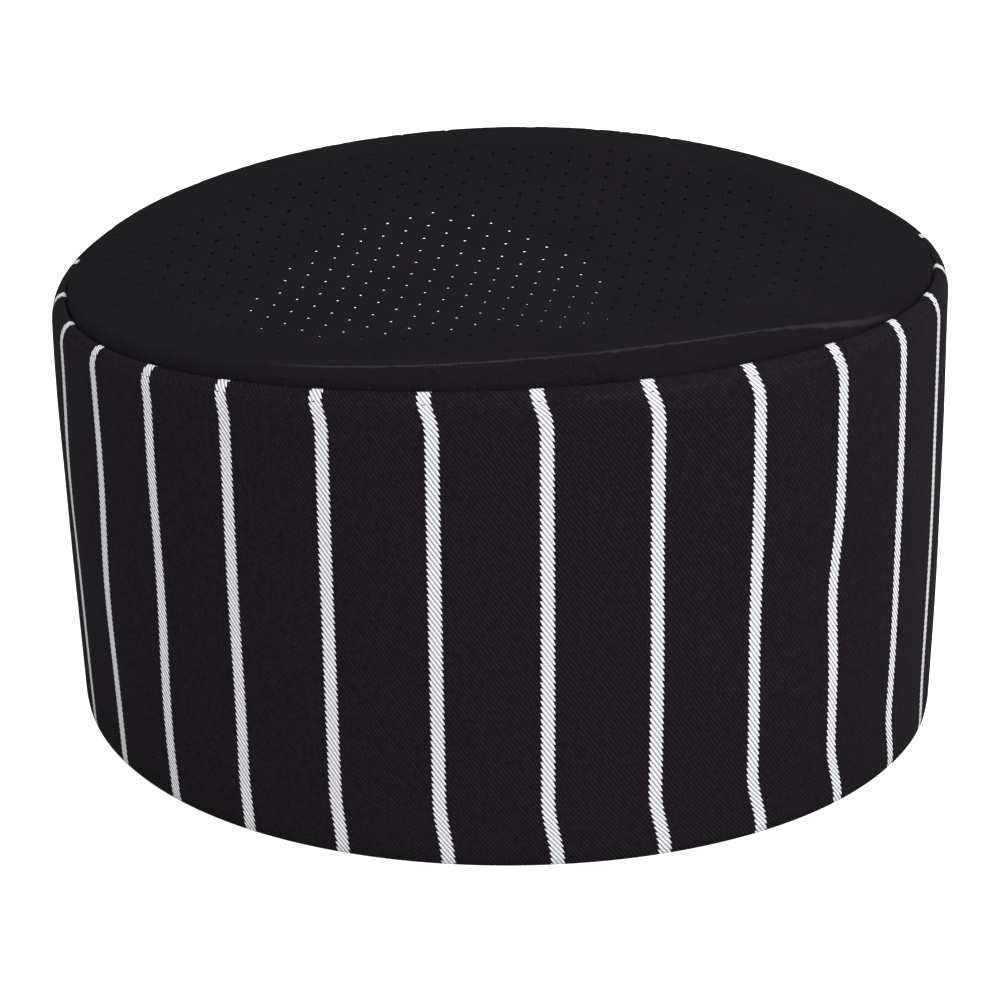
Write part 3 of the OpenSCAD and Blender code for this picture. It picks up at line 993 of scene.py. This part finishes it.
def makeInnerStrap():
    start, end = spanOf("strap_inner")
    outer, inner = depthsOf("strap_inner")
    root = end + strap["tuckIn"]
    piece = strapSheet("strapInner", root, start, strapLow, strapHigh, outer, twillCloth)
    inset = strap["stitchIn"]
    row = frameRow(end - 2 * inset, start + inset, strapLow + inset, strapHigh - inset,
                   outer + strap["thickness"] + 0.05 * mm, strap["cornerRound"] - inset)
    stitch = stitchRow("strapInnerStitch", row)
    attach(piece, "cap", "band_twill", "strap_inner")
    attach(stitch, "cap", "thread", "strap_inner_stitch")
    return piece


strapInner = makeInnerStrap()

# the outer strap lies down on the band where it is sewn, and stands off it over the closure
rootAlong = spanOf("strap_outer")[0]
sewnAlong = spanOf("strap_sewn_end")[0]
outerDepth = depthsOf("strap_outer")[0]
sewnDepth = -strap["thickness"] - 0.15 * mm


def outerStrapDepth(x):
    share = smooth((x - sewnAlong - 4 * mm) / (rootAlong - sewnAlong))
    return sewnDepth + (outerDepth - sewnDepth) * share


def outerStrapStitch(name, x0, x1, corner=0.0):
    inset = strap["stitchIn"]
    row = frameRow(x0 + inset, x1 - inset, strapLow + inset, strapHigh - inset,
                   lambda x: outerStrapDepth(x) - 0.05 * mm, corner)
    return stitchRow(name, row)


tip = spanOf("strap_outer")[1]
strapOuter = strapSheet("strapOuter", sewnAlong, tip, strapLow, strapHigh, outerStrapDepth,
                        twillCloth)
strapRootStitch = outerStrapStitch("strapRootStitch", sewnAlong, rootAlong - 1.2 * mm)
attach(strapRootStitch, "cap", "thread", "strap_root_stitch")
strapEdgeStitch = outerStrapStitch("strapEdgeStitch", rootAlong, tip,
                                   strap["cornerRound"] - strap["stitchIn"])


def strapPoint(x):
    return settle(rollPoints([[x, outerDepth, middle((strapLow, strapHigh))]]))[0]


bendStart, bendEnd = strapPoint(rootAlong - 3.5 * mm), strapPoint(rootAlong + 5 * mm)
for piece in (strapOuter, strapEdgeStitch):
    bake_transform(piece)
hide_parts("strap_outer", "strap_sewn_end")
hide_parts("strap_edge_stitch")
print("straps made")


# hook tape and loop tape
def makePileTree():  # small bent threads or hooks standing on a surface's points
    sizes = ["Height", "Reach", "Thickness", "Spread", "Spin"]
    tree, given = newTree("tapePile", sizes, whole=["Seed"])
    points = addNode(tree, "GeometryNodeMeshToPoints", {0: given["Geometry"]})
    normal = addNode(tree, "GeometryNodeInputNormal")
    held = addNode(tree, "GeometryNodeCaptureAttribute", {"Geometry": given["Geometry"]})
    held.capture_items.new("VECTOR", "normal")
    tree.links.new(normal.outputs[0], held.inputs[1])
    tree.links.new(held.outputs[0], points.inputs[0])
    shift = addNode(tree, "FunctionNodeRandomValue", {"Seed": given["Seed"]}, data_type="FLOAT_VECTOR")
    sway = addNode(tree, "ShaderNodeVectorMath",
                   {0: shift.outputs[0], 1: (-0.5, -0.5, -0.5)}, operation="ADD")
    offset = addNode(tree, "ShaderNodeVectorMath",
                     {0: sway.outputs[0], "Scale": given["Spread"]}, operation="SCALE")
    flat = addNode(tree, "ShaderNodeVectorMath",
                   {0: offset.outputs[0], 1: held.outputs[1]}, operation="CROSS_PRODUCT")
    moved = addNode(tree, "GeometryNodeSetPosition",
                    {"Geometry": points.outputs[0], "Offset": flat.outputs[0]})
    tall = calc(tree, "MULTIPLY", given["Height"], 2.0)
    start = addNode(tree, "ShaderNodeCombineXYZ", {0: calc(tree, "MULTIPLY", given["Reach"], -0.5)})
    top = addNode(tree, "ShaderNodeCombineXYZ", {2: tall})
    end = addNode(tree, "ShaderNodeCombineXYZ", {0: calc(tree, "MULTIPLY", given["Reach"], 0.5)})
    bow = addNode(tree, "GeometryNodeCurveQuadraticBezier", {
        "Resolution": 5, "Start": start.outputs[0], "Middle": top.outputs[0],
        "End": end.outputs[0]})
    rim = addNode(tree, "GeometryNodeCurvePrimitiveCircle",
                  {"Resolution": 3, "Radius": given["Thickness"]})
    thread = addNode(tree, "GeometryNodeCurveToMesh", {"Curve": bow.outputs[0],
                                                       "Profile Curve": rim.outputs[0]})
    turn = addNode(tree, "FunctionNodeAlignRotationToVector", {"Vector": held.outputs[1]}, axis="Z")
    angle = addNode(tree, "FunctionNodeRandomValue", {"Seed": given["Seed"]}, data_type="FLOAT")
    spin = calc(tree, "MULTIPLY", angle.outputs[1], given["Spin"])
    about = addNode(tree, "FunctionNodeAxisAngleToRotation", {"Axis": (0, 0, 1), "Angle": spin})
    both = addNode(tree, "FunctionNodeRotateRotation", {0: turn.outputs[0], 1: about.outputs[0]},
                   rotation_space="LOCAL")
    copies = addNode(tree, "GeometryNodeInstanceOnPoints", {
        "Points": moved.outputs[0], "Instance": thread.outputs[0], "Rotation": both.outputs[0]})
    endTree(tree, given, copies.outputs[0])
    return tree


pileTree = makePileTree()
hooks = {"pitch": 1.6 * mm, "Height": 0.3 * mm, "Reach": 0.55 * mm, "Thickness": 0.1 * mm,
         "Spread": 0.0, "Spin": 0.5, "Seed": 3}
loops = {"pitch": 1.15 * mm, "Height": 0.33 * mm, "Reach": 0.9 * mm, "Thickness": 0.07 * mm,
         "Spread": 1.2 * mm, "Spin": 6.3, "Seed": 11}


def tapePiece(node, name, pileName, faceIn, pile, material, body):
    start, end = spanOf(node)
    low, high = heightsOf(node)
    outer, inner = depthsOf(node)
    face = inner - pile["Height"] - 0.03 * mm if faceIn else outer + pile["Height"] + 0.03 * mm

    def laidSheet(made, spacing, margin):
        columns = np.linspace(start + margin, end - margin, round((end - start) / spacing))
        rows = np.linspace(low + margin, high - margin, round((high - low) / spacing))
        x, z = spread(columns, rows)
        draft = draftMesh(made, x, np.full(x.shape, face), z, z, inside=faceIn)
        return sew(made, draft, material)

    backing = laidSheet(name, 2 * mm, 0)
    thicken(backing, face - outer - 0.02 * mm if faceIn else inner - face - 0.02 * mm)
    seeds = laidSheet(pileName, pile["pitch"], 1.5 * mm)
    bed = seeds.data
    bpy.data.objects.remove(seeds)
    piece = grow(pileName, bed, pileTree, pile, material)
    piece.data.shade_smooth()
    attach(backing, body, node, node)
    attach(piece, body, node)
    return backing


hookTape = tapePiece("hook_tape", "hookTape", "hookTapeHooks", True, hooks, hookPlastic, "strap")
loopTape = tapePiece("loop_tape", "loopTape", "loopTapePile", False, loops, loopPile, "cap")


def tapeStitch(node, name, depth, body):
    start, end = spanOf(node)
    low, high = heightsOf(node)
    half = seam["Thread width"] / 2
    row = frameRow(start + half, end - half, low + half, high - half, depth)
    attach(stitchRow(name, row), body, "thread", node)


tapeStitch("hook_tape_stitch", "hookTapeStitch", outerDepth - 0.05 * mm, "strap")
tapeStitch("loop_tape_stitch", "loopTapeStitch",
           depthsOf("strap_inner")[0] + strap["thickness"] + 0.05 * mm, "cap")
print("hook and loop tapes made")


def makeLabel():
    start, end = spanOf("size_label")
    low, high = heightsOf("size_label")

    def face(x):  # it bows a little off the lining
        return liningDepth + 0.25 * mm + 0.15 * mm * np.sin((x - start) / (end - start) * math.pi)

    x, z = spread(np.linspace(start, end, 18), np.linspace(low, high, 14))
    label = sew("sizeLabel", draftMesh("sizeLabel", x, face(x), z, z, inside=True), labelCloth)
    thicken(label, 0.2 * mm)
    inset = 0.6 * mm
    row = frameRow(start + inset, end - inset, low + inset, high - inset, face)
    stitch = stitchRow("sizeLabelStitch", row, fine, paleThread)
    attach(label, "cap", "label", "size_label")
    attach(stitch, "cap", "label_thread", "size_label_stitch")
    return label


sizeLabel = makeLabel()
print("label sewn in")


# what each soft piece was cut to
innerSpan = spanOf("strap_inner")
for piece, node in ((hookTape, "hook_tape"), (loopTape, "loop_tape"), (sizeLabel, "size_label")):
    wide, tall = spanOf(node), heightsOf(node)


studio = {
    "target": (0, 0, 45 * mm),
    "distance": 1.2,
    "azimuth": -11.5,  # degrees round from the front, and above the floor
    "elevation": 21.3,
    "lens": 201.3,
    "shift": (-0.0048, -0.0015),
    "floorSize": 8.0,
    "worldLight": 0.52,
    "paintedShadeUnderCap": 0.25,  # painted shade: how brightly the table glows under the cap, dimmed there in place of its shadow
    "lights": [  # azimuth, elevation, distance, size and power
        ("frontSoftbox", 5, 30, 1.6, 1.2, 10),
        ("rightSoftbox", 62, 28, 1.6, 1.2, 7.5),
        ("leftSoftbox", -85, 28, 1.6, 1.2, 3),
        ("backSoftbox", 170, 30, 1.6, 1.2, 2.5),
        ("topSoftbox", 15, 65, 1.8, 1.6, 13.5),
    ],
}


def lookAt(obj, place, target):
    obj.location = place
    obj.rotation_euler = (Vector(target) - Vector(place)).to_track_quat("-Z", "Y").to_euler()


def onSphere(azimuth, elevation, distance):
    a, e = math.radians(azimuth), math.radians(elevation)
    back = Vector((math.sin(a) * math.cos(e), -math.cos(a) * math.cos(e), math.sin(e)))
    return Vector(studio["target"]) + distance * back


def makeCamera():
    camera = bpy.data.objects.new("camera", bpy.data.cameras.new("camera"))
    bpy.context.scene.collection.objects.link(camera)
    camera.data.lens = studio["lens"]
    camera.data.sensor_width = 36
    camera.data.shift_x, camera.data.shift_y = studio["shift"]
    lookAt(camera, onSphere(studio["azimuth"], studio["elevation"], studio["distance"]),
           studio["target"])
    bpy.context.scene.camera = camera


def makeLight(name, azimuth, elevation, distance, size, power):
    light = bpy.data.objects.new(name, bpy.data.lights.new(name, "AREA"))
    bpy.context.scene.collection.objects.link(light)
    light.data.shape = "DISK"
    light.data.size = size
    light.data.energy = power
    lookAt(light, onSphere(azimuth, elevation, distance), studio["target"])


def makeStudio():
    makeCamera()
    for light in studio["lights"]:
        makeLight(*light)
    world = bpy.data.worlds.new("paleRoom")
    bpy.context.scene.world = world
    world.use_nodes = True
    room = world.node_tree.nodes["Background"]
    seen = addNode(world.node_tree, "ShaderNodeLightPath").outputs["Is Camera Ray"]
    dim = studio["worldLight"]
    give(world.node_tree, room.inputs[0], (1, 1, 1))
    give(world.node_tree, room.inputs[1], calc(world.node_tree, "MULTIPLY_ADD", seen, 1 - dim, dim))
    bpy.ops.mesh.primitive_plane_add(size=studio["floorSize"])
    floor = bpy.context.object
    floor.name = "floor"
    # a glowing white table: pure white to the eye, and a softer bounce on the cap
    paper, tree, shader = newMaterial("paleFloor", (0.65, 0.65, 0.65), 0.9, 0.2)
    patchy = mix(tree, noise(tree, 3.0), (0.64, 0.64, 0.64), (0.66, 0.66, 0.66))
    give(tree, shader.inputs["Base Color"], patchy)
    give(tree, shader.inputs["Emission Color"], (1, 1, 1))
    seen = addNode(tree, "ShaderNodeLightPath").outputs["Is Camera Ray"]
    place = addNode(tree, "ShaderNodeTexCoord")
    away = addNode(tree, "ShaderNodeVectorMath", {0: place.outputs["Object"]}, operation="LENGTH")
    # painted shade: the table's glow is dimmed inside the cap's hem
    outside = step(tree, away.outputs["Value"], hemRadius - 3 * mm, hemRadius - 1 * mm)
    shaded = studio["paintedShadeUnderCap"]
    glow = calc(tree, "MULTIPLY_ADD", outside, 1 - shaded, shaded)
    give(tree, shader.inputs["Emission Strength"], calc(tree, "MULTIPLY", seen, glow))
    floor.data.materials.append(paper)
    bpy.context.scene.view_settings.view_transform = "Standard"


makeStudio()
print("studio set")
